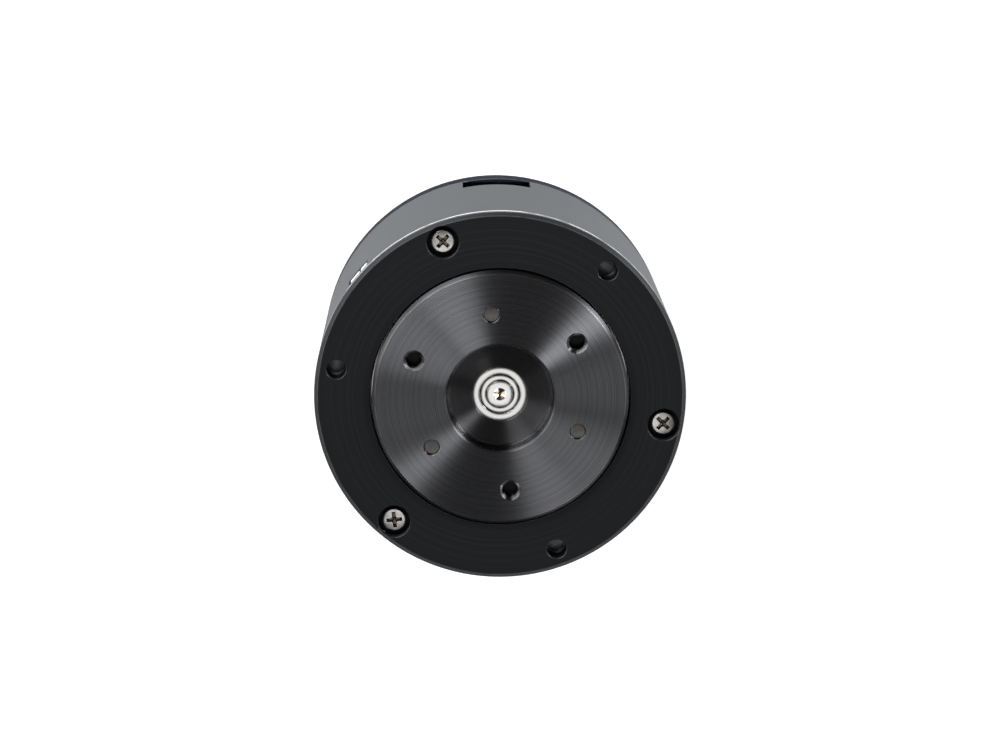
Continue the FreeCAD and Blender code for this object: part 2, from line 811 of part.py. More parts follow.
def main():
    os.makedirs("parts", exist_ok=True)
    export("main_housing", main_housing())
    export("index_mark", index_mark())
    export("front_plate", front_plate())
    export("front_plate_screws", front_plate_screws())
    export("rear_cover", rear_cover())
    export("rear_cover_screws", rear_cover_screws())
    export("ring_gear", ring_gear())
    export("ring_gear_dowels", ring_gear_dowels())
    export("sun_gear", sun_gear())
    for i in range(planet_count):
        export("planet_gear_%d" % (i + 1), planet_gear(i))
        export("planet_bush_%d" % (i + 1), planet_bush(i))
    export("planet_pins", planet_pins())
    export("output_flange", output_flange())
    export("carrier_plate", carrier_plate())
    export("carrier_screws", carrier_screws())
    export_bearings()
    export("rotor_shaft", rotor_shaft())
    export("rotor_bell", rotor_bell())
    export("flux_ring", flux_ring())
    export("rotor_magnets", rotor_magnets())
    export("encoder_magnet", encoder_magnet())
    export("bearing_spacer", bearing_spacer())
    export("stator_core", stator_core())
    export("stator_windings", stator_windings())
    export("stator_insulators", stator_insulators())
    export("motor_base", motor_base())
    export("phase_pins", phase_pins())
    export("base_clip", base_clip())
    export("driver_board", driver_board())
    export("board_parts", board_parts())
    export("encoder_chip", encoder_chip())
    export("power_connector", power_connector())
    export("connector_contacts", connector_contacts())


main()
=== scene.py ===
"""The dressed robot joint actuator: turned shells, screws, bearing faces and finishes.

Outlines are in millimetres as (radius, height) or (radius, height, rounding); everything that
Blender holds is in metres, in the row's frame, with +Z along the output axis. Angles round the
axis are in degrees from +X.
"""
import json
import math

import bpy
from mathutils import Euler, Matrix, Vector


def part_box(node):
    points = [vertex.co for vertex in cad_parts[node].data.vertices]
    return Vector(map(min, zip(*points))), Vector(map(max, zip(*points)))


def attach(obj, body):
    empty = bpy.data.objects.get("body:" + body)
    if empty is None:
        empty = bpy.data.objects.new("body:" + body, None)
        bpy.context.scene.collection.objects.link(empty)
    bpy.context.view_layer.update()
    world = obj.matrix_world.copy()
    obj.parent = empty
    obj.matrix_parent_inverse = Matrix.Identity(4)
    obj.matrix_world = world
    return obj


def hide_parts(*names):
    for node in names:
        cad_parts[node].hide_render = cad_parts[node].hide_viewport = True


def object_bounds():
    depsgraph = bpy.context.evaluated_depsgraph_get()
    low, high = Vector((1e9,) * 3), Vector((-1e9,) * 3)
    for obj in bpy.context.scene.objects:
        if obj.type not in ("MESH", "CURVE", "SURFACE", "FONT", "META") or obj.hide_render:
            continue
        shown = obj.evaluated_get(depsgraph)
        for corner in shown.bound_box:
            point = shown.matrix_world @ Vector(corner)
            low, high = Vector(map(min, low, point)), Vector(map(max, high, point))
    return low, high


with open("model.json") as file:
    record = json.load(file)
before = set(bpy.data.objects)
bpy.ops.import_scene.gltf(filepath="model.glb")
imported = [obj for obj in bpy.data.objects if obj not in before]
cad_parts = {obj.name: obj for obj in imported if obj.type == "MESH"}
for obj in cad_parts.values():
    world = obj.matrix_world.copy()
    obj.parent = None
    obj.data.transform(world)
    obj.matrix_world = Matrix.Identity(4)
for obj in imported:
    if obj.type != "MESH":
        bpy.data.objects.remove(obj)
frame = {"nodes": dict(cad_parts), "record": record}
cad_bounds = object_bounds()

MM = 0.001
WELD = 1e-6                 # points nearer than this are one point, metres
LEVEL = 1e-5                # points this near the lowest one count as low, metres
LATHE_STEPS = 192           # large turned pieces
BEARING_STEPS = 128         # races, shield and shaft
FINE_STEPS = 64             # screws, pins and holes
ARC_STEPS = 4               # straight steps in a rounded corner of an outline
BEVEL_STEPS = 3             # steps in a rounded edge of a block
SMOOTH_ANGLE = 34.0         # edges sharper than this stay sharp, degrees
CUT = 1.0                   # how far a cutter passes the face it cuts, mm


# ---------------------------------------------------------------- places read from the frame

def low(node):
    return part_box(node)[0].z / MM


def top(node):
    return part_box(node)[1].z / MM


def outside(node):
    """Radius of a round node on the main axis."""
    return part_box(node)[1].x / MM


BODY_R = outside("main_housing")
DISC_R = outside("output_flange")
PLATE_Z = top("front_plate")
FACE_Z = top("output_flange")
SEAM_Z = top("main_housing")
COVER_TOP_Z = low("main_housing")
BEARING_Z = low("front_plate")
PILLAR_Z = low("output_flange")     # rear end of the disc's pillars
CENTRE_Z = top("centre_bearing_outer")
PIN_Z = top("planet_pins")
PLATE_SCREW_Z = top("front_plate_screws")
SHAFT_Z = top("rotor_shaft")


# ---------------------------------------------------------------- sizes of more than one piece, mm

DISC_CHAMFER = 0.5
PLATE_BORE = DISC_R + 0.3           # with the gap round the disc
PLATE_CHAMFER = 0.55
COVER_CHAMFER = 1.0
LIP = 0.58                          # of the shell, round the plate
REGISTER_Z = SEAM_Z - 1.8           # the shell's seat under the plate's edge
OUTPUT_BEARING_TOP = BEARING_Z + 5.0
MOUNT_R = 25.0                      # circle of mounting holes and plate screws
MOUNT_START = 50.0
MOUNT_HOLE_DEPTH = 4.0
COPIES = 3                          # of every hole, pin and screw on a circle
THIRD = 360.0 / COPIES
SCREW_START = 110.0
SCREW_TURNS = (48.0, 6.0, 45.0)     # of the plate screws' cross recesses
SCREW_SEAT_Z = PLATE_Z - 2.5
SCREW_R = 1.0                       # shank of every screw
SCREW_TIP = 0.2                     # height of the chamfer at its end
SCREW_TIP_R = 0.8
SCREW_HEAD_R = 1.8
OUTPUT_R = 14.2                     # circle of the tapped holes in the disc
OUTPUT_START = 36.0
OUTPUT_HOLE_DEPTH = 3.0
PIN_R = 12.75                       # circle of the planet pins
PIN_START = 96.0
COVER_SCREW_R = 21.0
COVER_SCREW_START = 30.0
COUNTERSINK = 0.85                  # height of a cover screw's cone
SLOT_ANGLE = 90.0
SLOT_W = 10.8
SLOT_H = 7.6
SLOT_INNER = 24.5                   # radius where the slot ends
MARK_ANGLE = 140.0
MARK_W = 4.4
MARK_DEPTH = 0.8
CENTRE_LOW = CENTRE_Z - 3.0         # back of the centre bearing


# ---------------------------------------------------------------- camera

LENS = 110.67
SENSOR = 36.0
CLIP_START = 0.01
CAMERA_TURN = (-10.804, -0.988, 0.0)            # degrees about X, Y and Z
CAMERA_PLACE = Vector((-0.04, 3.33, 462.0))     # from the plate's centre, in the camera's axes, mm


def add_camera():
    turn = Euler([math.radians(a) for a in CAMERA_TURN])
    data = bpy.data.cameras.new("camera")
    data.lens = LENS
    data.sensor_width = SENSOR
    data.clip_start = CLIP_START
    camera = bpy.data.objects.new("camera", data)
    camera.rotation_euler = turn
    camera.location = (Vector((0, 0, PLATE_Z)) + turn.to_matrix() @ CAMERA_PLACE) * MM
    bpy.context.scene.collection.objects.link(camera)
    bpy.context.scene.camera = camera


add_camera()


# ---------------------------------------------------------------- modelling tools

def activate(piece):
    bpy.ops.object.select_all(action="DESELECT")
    piece.select_set(True)
    bpy.context.view_layer.objects.active = piece


def apply_modifier(piece, kind, **settings):
    activate(piece)
    modifier = piece.modifiers.new(kind.lower(), kind)
    for key, value in settings.items():
        setattr(modifier, key, value)
    bpy.ops.object.modifier_apply(modifier=modifier.name)


def soften(outline):
    """Points of an outline in metres, with an arc at each corner that has a rounding."""
    points = []
    for i, corner in enumerate(outline):
        here = Vector(corner[:2])
        if len(corner) == 2:
            points.append(here)
            continue
        before = (Vector(outline[i - 1][:2]) - here).normalized()
        after = (Vector(outline[(i + 1) % len(outline)][:2]) - here).normalized()
        half = before.angle(after) / 2
        reach = corner[2] / math.tan(half)
        centre = here + (before + after).normalized() * corner[2] / math.sin(half)
        start = (here + before * reach - centre).normalized()
        end = (here + after * reach - centre).normalized()
        for k in range(ARC_STEPS + 1):
            points.append(centre + start.slerp(end, k / ARC_STEPS) * corner[2])
    return [point * MM for point in points]


def turned(name, outline, steps=LATHE_STEPS):
    """A piece turned round Z. An outline that starts on the axis also ends there."""
    points = soften(outline)
    if outline[0][0] > 0:
        points.append(points[0])
    bpy.ops.object.select_all(action="DESELECT")
    bpy.ops.mesh.primitive_plane_add(size=MM)
    piece = bpy.context.object
    piece.name = name
    bpy.ops.object.mode_set(mode="EDIT")
    bpy.ops.mesh.select_all(action="SELECT")
    bpy.ops.mesh.merge(type="CENTER")
    bpy.ops.transform.translate(value=(points[0].x, 0, points[0].y))
    for start, end in zip(points, points[1:]):
        way = (end.x - start.x, 0, end.y - start.y)
        bpy.ops.mesh.extrude_vertices_move(TRANSFORM_OT_translate={"value": way})
    bpy.ops.mesh.select_all(action="SELECT")
    bpy.ops.mesh.remove_doubles(threshold=WELD)
    bpy.ops.mesh.spin(steps=steps, angle=2 * math.pi, center=(0, 0, 0), axis=(0, 0, 1),
                      use_auto_merge=True)
    bpy.ops.mesh.select_all(action="SELECT")
    bpy.ops.mesh.remove_doubles(threshold=WELD)
    bpy.ops.mesh.normals_make_consistent(inside=False)
    bpy.ops.object.mode_set(mode="OBJECT")
    return piece


def select_lowest(piece):
    """Selects the lowest points of a piece, and the edges and faces between them."""
    mesh = piece.data
    floor = min(v.co.z for v in mesh.vertices)
    chosen = [v.co.z < floor + LEVEL for v in mesh.vertices]
    for vertex, on in zip(mesh.vertices, chosen):
        vertex.select = on
    for part in (*mesh.edges, *mesh.polygons):
        part.select = all(chosen[i] for i in part.vertices)


def block(name, size, centre, taper=1.0, rounding=0.0):
    """A block in millimetres whose lower face is scaled by taper, with rounded edges."""
    bpy.ops.object.select_all(action="DESELECT")
    bpy.ops.mesh.primitive_cube_add(size=1)
    piece = bpy.context.object
    piece.name = name
    piece.scale = Vector(size) * MM
    piece.location = Vector(centre) * MM
    bpy.ops.object.transform_apply(location=True, rotation=True, scale=True)
    if taper != 1.0:
        select_lowest(piece)
        bpy.ops.object.mode_set(mode="EDIT")
        bpy.ops.transform.resize(value=(taper, taper, 1))
        bpy.ops.object.mode_set(mode="OBJECT")
    if rounding:
        apply_modifier(piece, "BEVEL", width=rounding * MM, segments=BEVEL_STEPS,
                       limit_method="ANGLE")
    return piece


def place(piece, turn=0.0, radius=0.0, own_turn=0.0):
    """Sets a piece out on a circle round Z; own_turn is about its own centre line."""
    activate(piece)
    rotation = Matrix.Rotation(math.radians(turn), 4, "Z")
    spin = Matrix.Rotation(math.radians(own_turn), 4, "Z")
    piece.matrix_world = rotation @ Matrix.Translation((radius * MM, 0, 0)) @ spin
    bpy.ops.object.transform_apply(location=True, rotation=True, scale=True)
    return piece


def duplicate(piece):
    activate(piece)
    bpy.ops.object.duplicate()
    return bpy.context.object


def ring_of(pattern, start, radius):
    """Copies of a pattern on a circle; the pattern itself is the last of them."""
    pieces = [duplicate(pattern) for _ in range(COPIES - 1)] + [pattern]
    return [place(p, start + THIRD * i, radius) for i, p in enumerate(pieces)]


def carve(piece, cutters, operation="DIFFERENCE"):
    for cutter in cutters:
        apply_modifier(piece, "BOOLEAN", object=cutter, operation=operation, solver="EXACT")
        bpy.data.objects.remove(cutter)
    return piece


# ---------------------------------------------------------------- shader node groups

UNEVEN_RATE = 0.31              # changes of a groove's depth, per groove
TONE_RATE = 1.1                 # changes of tone, per groove
WEAR_RANGE = (0.3, 0.5)         # of the noise that breaks up a worn edge
TONE_RANGE = (0.35, 0.65)       # of the noise between a finish's two colours
ROUGH_RANGE = (0.3, 0.7)        # and between its two roughnesses
SHADE_START = 0.00003            # depth below a face where the painted shade starts, metres


def new_group(name, inputs, outputs):
    """A node group with float sockets: inputs maps each name to its default."""
    group = bpy.data.node_groups.new(name, "ShaderNodeTree")
    for label, default in inputs.items():
        socket = group.interface.new_socket(label, in_out="INPUT", socket_type="NodeSocketFloat")
        socket.default_value = default
    for label in outputs:
        group.interface.new_socket(label, in_out="OUTPUT", socket_type="NodeSocketFloat")
    return group, group.nodes.new("NodeGroupInput"), group.nodes.new("NodeGroupOutput")


def add(tree, kind, sockets=None, **settings):
    """A new node; sockets maps an input's name or number to a value or to an output."""
    node = tree.nodes.new(kind)
    for key, value in settings.items():
        setattr(node, key, value)
    for key, value in (sockets or {}).items():
        if isinstance(value, bpy.types.NodeSocket):
            tree.links.new(value, node.inputs[key])
        else:
            node.inputs[key].default_value = value
    return node


def math_node(tree, operation, first, second=0.0):
    node = add(tree, "ShaderNodeMath", {0: first, 1: second}, operation=operation)
    return node.outputs[0]


def map_range(tree, value, source=(0.0, 1.0), target=(0.0, 1.0)):
    """A value moved from one range to another and held inside it."""
    node = add(tree, "ShaderNodeMapRange", {"Value": value,
                                            "From Min": source[0], "From Max": source[1],
                                            "To Min": target[0], "To Max": target[1]})
    return node.outputs[0]


def noise_along(tree, way, detail):
    """A noise that changes along one value only."""
    node = add(tree, "ShaderNodeTexNoise", {"W": way, "Scale": 1.0, "Detail": detail},
               noise_dimensions="1D")
    return node.outputs[0]


def round_place(tree):
    """The object's own coordinates, and the height and the radius in them."""
    own = add(tree, "ShaderNodeTexCoord").outputs["Object"]
    parts = add(tree, "ShaderNodeSeparateXYZ", {0: own})
    flat = add(tree, "ShaderNodeCombineXYZ", {0: parts.outputs[0], 1: parts.outputs[1]})
    radius = add(tree, "ShaderNodeVectorMath", {0: flat.outputs[0]}, operation="LENGTH")
    return own, parts.outputs[2], radius.outputs["Value"]


def turning_marks_group():
    """Height and tone of the fine grooves that a lathe tool leaves round Z, and the radius."""
    group, given, result = new_group(
        "turning_marks", {"Pitch": 0.0002, "Wander": 0.5}, ["Height", "Tone", "Radius"])
    _, height, radius = round_place(group)
    way = math_node(group, "ADD", radius, height)
    turns = math_node(group, "DIVIDE", way, given.outputs["Pitch"])
    wave = math_node(group, "SINE", math_node(group, "MULTIPLY", turns, 2 * math.pi))
    uneven = noise_along(group, math_node(group, "MULTIPLY", turns, UNEVEN_RATE), 3.0)
    tone = noise_along(group, math_node(group, "MULTIPLY", turns, TONE_RATE), 1.0)
    groove = add(group, "ShaderNodeMix", {0: given.outputs["Wander"], 2: wave, 3: uneven})
    group.links.new(groove.outputs[0], result.inputs["Height"])
    group.links.new(tone, result.inputs["Tone"])
    group.links.new(radius, result.inputs["Radius"])
    return group


def fine_grain_group():
    """Height of a blasted or moulded skin, and a slow change of tone over the surface."""
    group, given, result = new_group(
        "fine_grain", {"Grain": 9000.0, "Patches": 120.0}, ["Height", "Tone"])
    own = add(group, "ShaderNodeTexCoord").outputs["Object"]
    grain = add(group, "ShaderNodeTexNoise", {"Vector": own, "Scale": given.outputs["Grain"],
                                              "Detail": 2.0})
    patches = add(group, "ShaderNodeTexNoise", {"Vector": own, "Scale": given.outputs["Patches"],
                                                "Detail": 4.0, "Roughness": 0.6})
    group.links.new(grain.outputs[0], result.inputs["Height"])
    group.links.new(patches.outputs[0], result.inputs["Tone"])
    return group


def edge_wear_group():
    """Mask of one round edge, at a radius and a height, broken up as handling breaks it up.

    It is full within Core of the edge and ends at Width from it.
    """
    group, given, result = new_group(
        "edge_wear", {"Radius": 0.028, "Height": 0.0, "Core": 0.0, "Width": 0.0002,
                      "Breakup": 350.0}, ["Mask"])
    own, height, radius = round_place(group)
    off = math_node(group, "SUBTRACT", radius, given.outputs["Radius"])
    above = math_node(group, "SUBTRACT", height, given.outputs["Height"])
    offset = add(group, "ShaderNodeCombineXYZ", {0: off, 1: above})
    distance = add(group, "ShaderNodeVectorMath", {0: offset.outputs[0]}, operation="LENGTH")
    near = map_range(group, distance.outputs["Value"],
                     (given.outputs["Width"], given.outputs["Core"]))
    breakup = add(group, "ShaderNodeTexNoise", {"Vector": own, "Scale": given.outputs["Breakup"],
                                                "Detail": 3.0})
    share = map_range(group, breakup.outputs[0], WEAR_RANGE)
    mask = math_node(group, "MULTIPLY", near, share)
    group.links.new(mask, result.inputs["Mask"])
    return group


def hollow_shade_group():
    """Mask of the inner corners of small recesses, where shade is painted."""
    group, given, result = new_group("hollow_painted_shade", {"Start": 0.5, "Full": 0.43}, ["Mask"])
    shape = add(group, "ShaderNodeNewGeometry")
    hollow = map_range(group, shape.outputs["Pointiness"],
                       (given.outputs["Start"], given.outputs["Full"]))
    group.links.new(hollow, result.inputs["Mask"])
    return group


def sunk_shade_group():
    """Mask of painted shade a little below a face, down to a depth, such as in a screw's recess.
    """
    group, given, result = new_group("sunk_painted_shade", {"Face": 0.0, "Fade": 0.0001, "Depth": 0.001},
                                     ["Mask"])
    own = add(group, "ShaderNodeTexCoord").outputs["Object"]
    parts = add(group, "ShaderNodeSeparateXYZ", {0: own})
    below = math_node(group, "SUBTRACT", given.outputs["Face"], parts.outputs[2])
    sunk = map_range(group, below, (SHADE_START, given.outputs["Fade"]))
    near = math_node(group, "LESS_THAN", below, given.outputs["Depth"])
    mask = math_node(group, "MULTIPLY", sunk, near)
    group.links.new(mask, result.inputs["Mask"])
    return group


TURNING = turning_marks_group()
GRAIN = fine_grain_group()
WEAR = edge_wear_group()
HOLLOW_SHADE = hollow_shade_group()
SUNK_SHADE = sunk_shade_group()


# ---------------------------------------------------------------- finishes

def place_group(tree, group, **values):
    node = tree.nodes.new("ShaderNodeGroup")
    node.node_tree = group
    for key, value in values.items():
        node.inputs[key].default_value = value
    return node


def blend_colours(tree, share, first, second):
    node = add(tree, "ShaderNodeMix", data_type="RGBA")
    for key, value in (("Factor", share), ("A", first), ("B", second)):
        socket = next(s for s in node.inputs
                      if s.name == key and s.type == ("VALUE" if key == "Factor" else "RGBA"))
        if isinstance(value, bpy.types.NodeSocket):
            tree.links.new(value, socket)
        else:
            socket.default_value = value
    return next(s for s in node.outputs if s.type == "RGBA")


def worn_edges(tree, rims):
    """One mask for the round edges of a finish, each (radius, height, core, width) in mm."""
    mask = 0.0
    for radius, height, core, width in rims:
        edge = place_group(tree, WEAR, Radius=radius * MM, Height=height * MM, Core=core * MM,
                           Width=width * MM)
        mask = math_node(tree, "MAXIMUM", edge.outputs["Mask"], mask)
    return mask


def lathe_height(tree, lathe, height, marks_depth, lean, lean_inside):
    """A height with the lathe's grooves, and the slope of their flanks, worked into it."""
    radius = lathe.outputs["Radius"]
    grooves = math_node(tree, "MULTIPLY", lathe.outputs["Height"], marks_depth)
    height = math_node(tree, "ADD", height, grooves)
    height = math_node(tree, "SUBTRACT", height, math_node(tree, "MULTIPLY", radius, lean))
    if lean_inside:
        end, slope = lean_inside
        within = math_node(tree, "MINIMUM", radius, end * MM)
        height = math_node(tree, "SUBTRACT", height, math_node(tree, "MULTIPLY", within, slope))
    return height


def finish(name, colour, second, rough, rough_second, metallic=0.0, marks=None, marks_depth=0.0,
           lean=0.0, lean_inside=None, grain_depth=0.0, grain=9000.0, patches=120.0, worn=None,
           rims=(), bare=None, shade_in_hollows=None, sunk=None, smooth_band=None, **sockets):
    """A procedural finish: two tones, two roughnesses, lathe marks, grain and worn edges.

    Depths are in metres. marks is the pitch of the lathe's grooves and lean the slope of their
    flanks, with more of it within a radius given by lean_inside. worn is the colour of the rims,
    bare their metallic share and shade_in_hollows the colour of painted shade in hollows. sunk
    is a face's height, the depth at which the painted shade below it is full, the depth where
    it ends (mm) and the colour of that painted shade.
    smooth_band is two radii and the roughness between them. sockets are the shader's constants.
    """
    material = bpy.data.materials.new(name)
    material.use_nodes = True
    tree = material.node_tree
    shader = next(n for n in tree.nodes if n.type == "BSDF_PRINCIPLED")
    skin = place_group(tree, GRAIN, Grain=grain, Patches=patches)
    tone = skin.outputs["Tone"]
    height = math_node(tree, "MULTIPLY", skin.outputs["Height"], grain_depth)
    if marks:
        lathe = place_group(tree, TURNING, Pitch=marks)
        height = lathe_height(tree, lathe, height, marks_depth, lean, lean_inside)
        tone = lathe.outputs["Tone"]
    base = blend_colours(tree, map_range(tree, tone, TONE_RANGE), (*colour, 1), (*second, 1))
    if rims:
        wear = worn_edges(tree, rims)
        base = blend_colours(tree, wear, base, (*worn, 1))
    # Painted shade in hollows, found from the mesh's pointiness.
    if shade_in_hollows:
        base = blend_colours(tree, place_group(tree, HOLLOW_SHADE).outputs["Mask"], base, (*shade_in_hollows, 1))
    # Painted shade below a face, darker with depth, as in a recess.
    if sunk:
        face, fade, depth, below = sunk
        mask = place_group(tree, SUNK_SHADE, Face=face * MM, Fade=fade * MM, Depth=depth * MM)
        base = blend_colours(tree, mask.outputs["Mask"], base, (*below, 1))
    tree.links.new(base, shader.inputs["Base Color"])
    level = map_range(tree, tone, ROUGH_RANGE, (rough, rough_second))
    if smooth_band:
        start, end, band_rough = smooth_band
        past = math_node(tree, "GREATER_THAN", lathe.outputs["Radius"], start * MM)
        short = math_node(tree, "LESS_THAN", lathe.outputs["Radius"], end * MM)
        band = math_node(tree, "MULTIPLY", past, short)
        level = map_range(tree, band, target=(level, band_rough))
    tree.links.new(level, shader.inputs["Roughness"])
    bump = add(tree, "ShaderNodeBump", {"Height": height, "Distance": 1.0, "Strength": 1.0})
    tree.links.new(bump.outputs[0], shader.inputs["Normal"])
    shader.inputs["Metallic"].default_value = metallic
    if bare is not None:
        shine = map_range(tree, wear, target=(metallic, bare))
        tree.links.new(shine, shader.inputs["Metallic"])
    for key, value in sockets.items():
        shader.inputs[key.replace("_", " ")].default_value = value
    if "Anisotropic" in sockets:
        way = add(tree, "ShaderNodeTangent", direction_type="RADIAL", axis="Z")
        tree.links.new(way.outputs[0], shader.inputs["Tangent"])
    return material


# Worn edges as (radius, height, core, width); the housing's last one is the seat that shows
# inside the mounting holes.
HOUSING_RIMS = ((BODY_R, SEAM_Z, 0.55, 0.7), (BODY_R, COVER_TOP_Z, 0.0, 0.25),
                (MOUNT_R, REGISTER_Z, 0.0, 0.9))
COVER_RIMS = ((BODY_R, COVER_TOP_Z, 0.0, 0.2), (BODY_R, COVER_CHAMFER, 0.0, 0.25),
              (BODY_R - COVER_CHAMFER, 0.0, 0.0, 0.25))
PLATE_RIMS = ((BODY_R - PLATE_CHAMFER, PLATE_Z, 0.0, 0.12),
              (BODY_R, PLATE_Z - PLATE_CHAMFER, 0.0, 0.12), (PLATE_BORE, PLATE_Z, 0.0, 0.15))
DISC_RIMS = ((DISC_R - DISC_CHAMFER, FACE_Z, 0.0, 0.1),
             (DISC_R, FACE_Z - DISC_CHAMFER, 0.0, 0.1))

# Colour of the painted shade in the screws' hollows and recesses.
RECESS_SHADE = (0.20, 0.17, 0.135)

FINISHES = {
    "housing": finish("grey_anodised", (0.130, 0.139, 0.148), (0.138, 0.147, 0.157), 0.36, 0.38,
                      metallic=0.8, marks=0.0004, marks_depth=1e-7, grain_depth=5e-8,
                      worn=(0.85, 0.85, 0.86), rims=HOUSING_RIMS, bare=0.2, Anisotropic=0.5,
                      Anisotropic_Rotation=0.25, Specular_Tint=(0.35, 0.35, 0.36, 1)),
    "cover": finish("blue_grey_anodised", (0.039, 0.046, 0.073), (0.045, 0.054, 0.082), 0.34, 0.38,
                    metallic=0.92, marks=0.0004, marks_depth=1e-7, grain_depth=5e-8,
                    worn=(0.2, 0.2, 0.22), rims=COVER_RIMS, Specular_IOR_Level=0.2,
                    Specular_Tint=(0.06, 0.07, 0.1, 1)),
    "plate": finish("black_anodised", (0.0048, 0.0048, 0.0056), (0.006, 0.006, 0.007), 0.42, 0.5,
                    marks=0.00045, marks_depth=2.5e-6, grain_depth=1.5e-7, grain=14000.0,
                    worn=(0.06, 0.06, 0.06), rims=PLATE_RIMS, Specular_IOR_Level=0.4,
                    Specular_Tint=(0.9, 0.95, 1.0, 1)),
    # The disc's chamfer and its recess below the face get painted shade.
    "flange": finish("black_turned", (0.143, 0.145, 0.154), (0.186, 0.189, 0.20), 0.455, 0.475,
                     metallic=1.0, marks=0.0003, marks_depth=1e-5, lean=0.09,
                     lean_inside=(7.4, 0.04), smooth_band=(7.6, 8.15, 0.24),
                     worn=(0.3, 0.3, 0.3), rims=DISC_RIMS,
                     sunk=(FACE_Z, 0.35, 3.5, (0.09, 0.09, 0.095)),
                     Anisotropic=1.0, Anisotropic_Rotation=0.25),
    # The screws' cross recesses get painted shade, in their hollows and below the head's face.
    "screw": finish("nickel_plated", (0.86, 0.84, 0.81), (0.78, 0.75, 0.71), 0.16, 0.26,
                    metallic=1.0, grain_depth=1.5e-7, grain=6000.0, patches=900.0,
                    shade_in_hollows=RECESS_SHADE, sunk=(PLATE_SCREW_Z, 0.3, 1.0, RECESS_SHADE)),
    "bearing": finish("ground_steel", (0.95, 0.94, 0.92), (0.90, 0.89, 0.87), 0.10, 0.16,
                      metallic=1.0, marks=0.0001, marks_depth=4e-8, Anisotropic=0.5,
                      Anisotropic_Rotation=0.25),
    # The centre drill below the shaft's end gets a painted brown shade.
    "shaft": finish("ground_shaft_steel", (0.98, 0.97, 0.96), (0.95, 0.94, 0.92), 0.10, 0.16,
                    metallic=1.0, marks=0.00012, marks_depth=5e-8,
                    sunk=(SHAFT_Z, 0.12, 1.0, (0.62, 0.52, 0.42))),
    "pin": finish("hardened_steel", (0.30, 0.28, 0.255), (0.42, 0.395, 0.36), 0.36, 0.5,
                  metallic=0.8, grain_depth=8e-7, grain=5000.0, patches=1500.0),
    "gear": finish("hobbed_steel", (0.42, 0.42, 0.43), (0.33, 0.33, 0.35), 0.28, 0.42,
                   metallic=1.0, grain_depth=3e-7, grain=4000.0),
    "bush": finish("bronze", (0.55, 0.36, 0.15), (0.45, 0.28, 0.12), 0.3, 0.45, metallic=1.0,
                   grain_depth=3e-7, grain=4000.0),
    "bare_aluminium": finish("machined_aluminium", (0.70, 0.71, 0.72), (0.62, 0.63, 0.65),
                             0.25, 0.38, metallic=1.0, marks=0.0003, marks_depth=3e-7),
    "magnet": finish("plated_magnet", (0.60, 0.61, 0.63), (0.52, 0.53, 0.56), 0.2, 0.32,
                     metallic=1.0, grain_depth=1e-7),
    "flux_steel": finish("zinc_plated_steel", (0.40, 0.42, 0.45), (0.33, 0.34, 0.37), 0.3, 0.45,
                         metallic=1.0, grain_depth=3e-7, patches=400.0),
    "lamination": finish("coated_laminations", (0.12, 0.12, 0.13), (0.17, 0.17, 0.18), 0.4, 0.55,
                         metallic=0.6, marks=0.0005, marks_depth=1.5e-6),
    "copper": finish("enamelled_copper", (0.60, 0.22, 0.07), (0.45, 0.15, 0.05), 0.25, 0.4,
                     metallic=0.7, marks=0.0006, marks_depth=6e-6, Coat_Weight=0.5),
    "insulator": finish("moulded_nylon", (0.62, 0.60, 0.54), (0.55, 0.53, 0.47), 0.45, 0.6,
                        grain_depth=6e-7, grain=5000.0),
    "board": finish("solder_mask", (0.008, 0.045, 0.02), (0.012, 0.06, 0.028), 0.25, 0.4,
                    grain_depth=4e-7, grain=3000.0, patches=600.0),
    "component": finish("moulded_epoxy", (0.012, 0.012, 0.013), (0.02, 0.02, 0.021), 0.45, 0.6,
                        grain_depth=6e-7, grain=8000.0),
    "connector": finish("black_nylon", (0.01, 0.01, 0.01), (0.016, 0.016, 0.016), 0.4, 0.55,
                        grain_depth=5e-7, grain=7000.0),
    "contact": finish("gold_plated", (0.80, 0.56, 0.22), (0.70, 0.47, 0.18), 0.18, 0.3,
                      metallic=1.0, grain_depth=1e-7),
    "mark": finish("white_nylon", (0.92, 0.92, 0.91), (0.86, 0.86, 0.85), 0.35, 0.5,
                   grain_depth=8e-7, grain=6000.0, patches=700.0),
}


def dress(piece, body, slot, *nodes):
    """Smooth shading, finish, body and the CAD nodes that the piece stands for."""
    activate(piece)
    bpy.ops.object.shade_smooth_by_angle(angle=math.radians(SMOOTH_ANGLE))
    apply_modifier(piece, "WEIGHTED_NORMAL", keep_sharp=True)
    piece.data.materials.clear()
    piece.data.materials.append(FINISHES[slot])
    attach(piece, body)
    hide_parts(*nodes)


# ---------------------------------------------------------------- holes and recesses

THREAD_DEPTH = 0.54             # in parts of the pitch
THREAD_TURN = (0.1, 0.5, 0.9)   # start, crest and end of one ring, in parts of the pitch
LEAD_IN = 0.1                   # how much taller the cone over the rings is than the chamfer, mm


def tapped_hole(face, depth, size=3.0, pitch=0.5, chamfer=0.09):
    """Cutter of a tapped hole: a flat floor, thread rings and a chamfer at the face."""
    major = size / 2
    minor = major - THREAD_DEPTH * pitch
    floor = face - depth
    start, crest, end = THREAD_TURN
    outline = [(0, floor), (minor, floor)]
    for ring in range(int((depth - chamfer) / pitch)):
        z = floor + pitch * ring
        outline += [(minor, z + start * pitch), (major, z + crest * pitch),
                    (minor, z + end * pitch)]
    outline += [(minor, face - 2 * chamfer - LEAD_IN), (major, face - chamfer),
                (major + chamfer, face), (major + chamfer, face + CUT), (0, face + CUT)]
    return turned("tapped_hole", outline, FINE_STEPS)


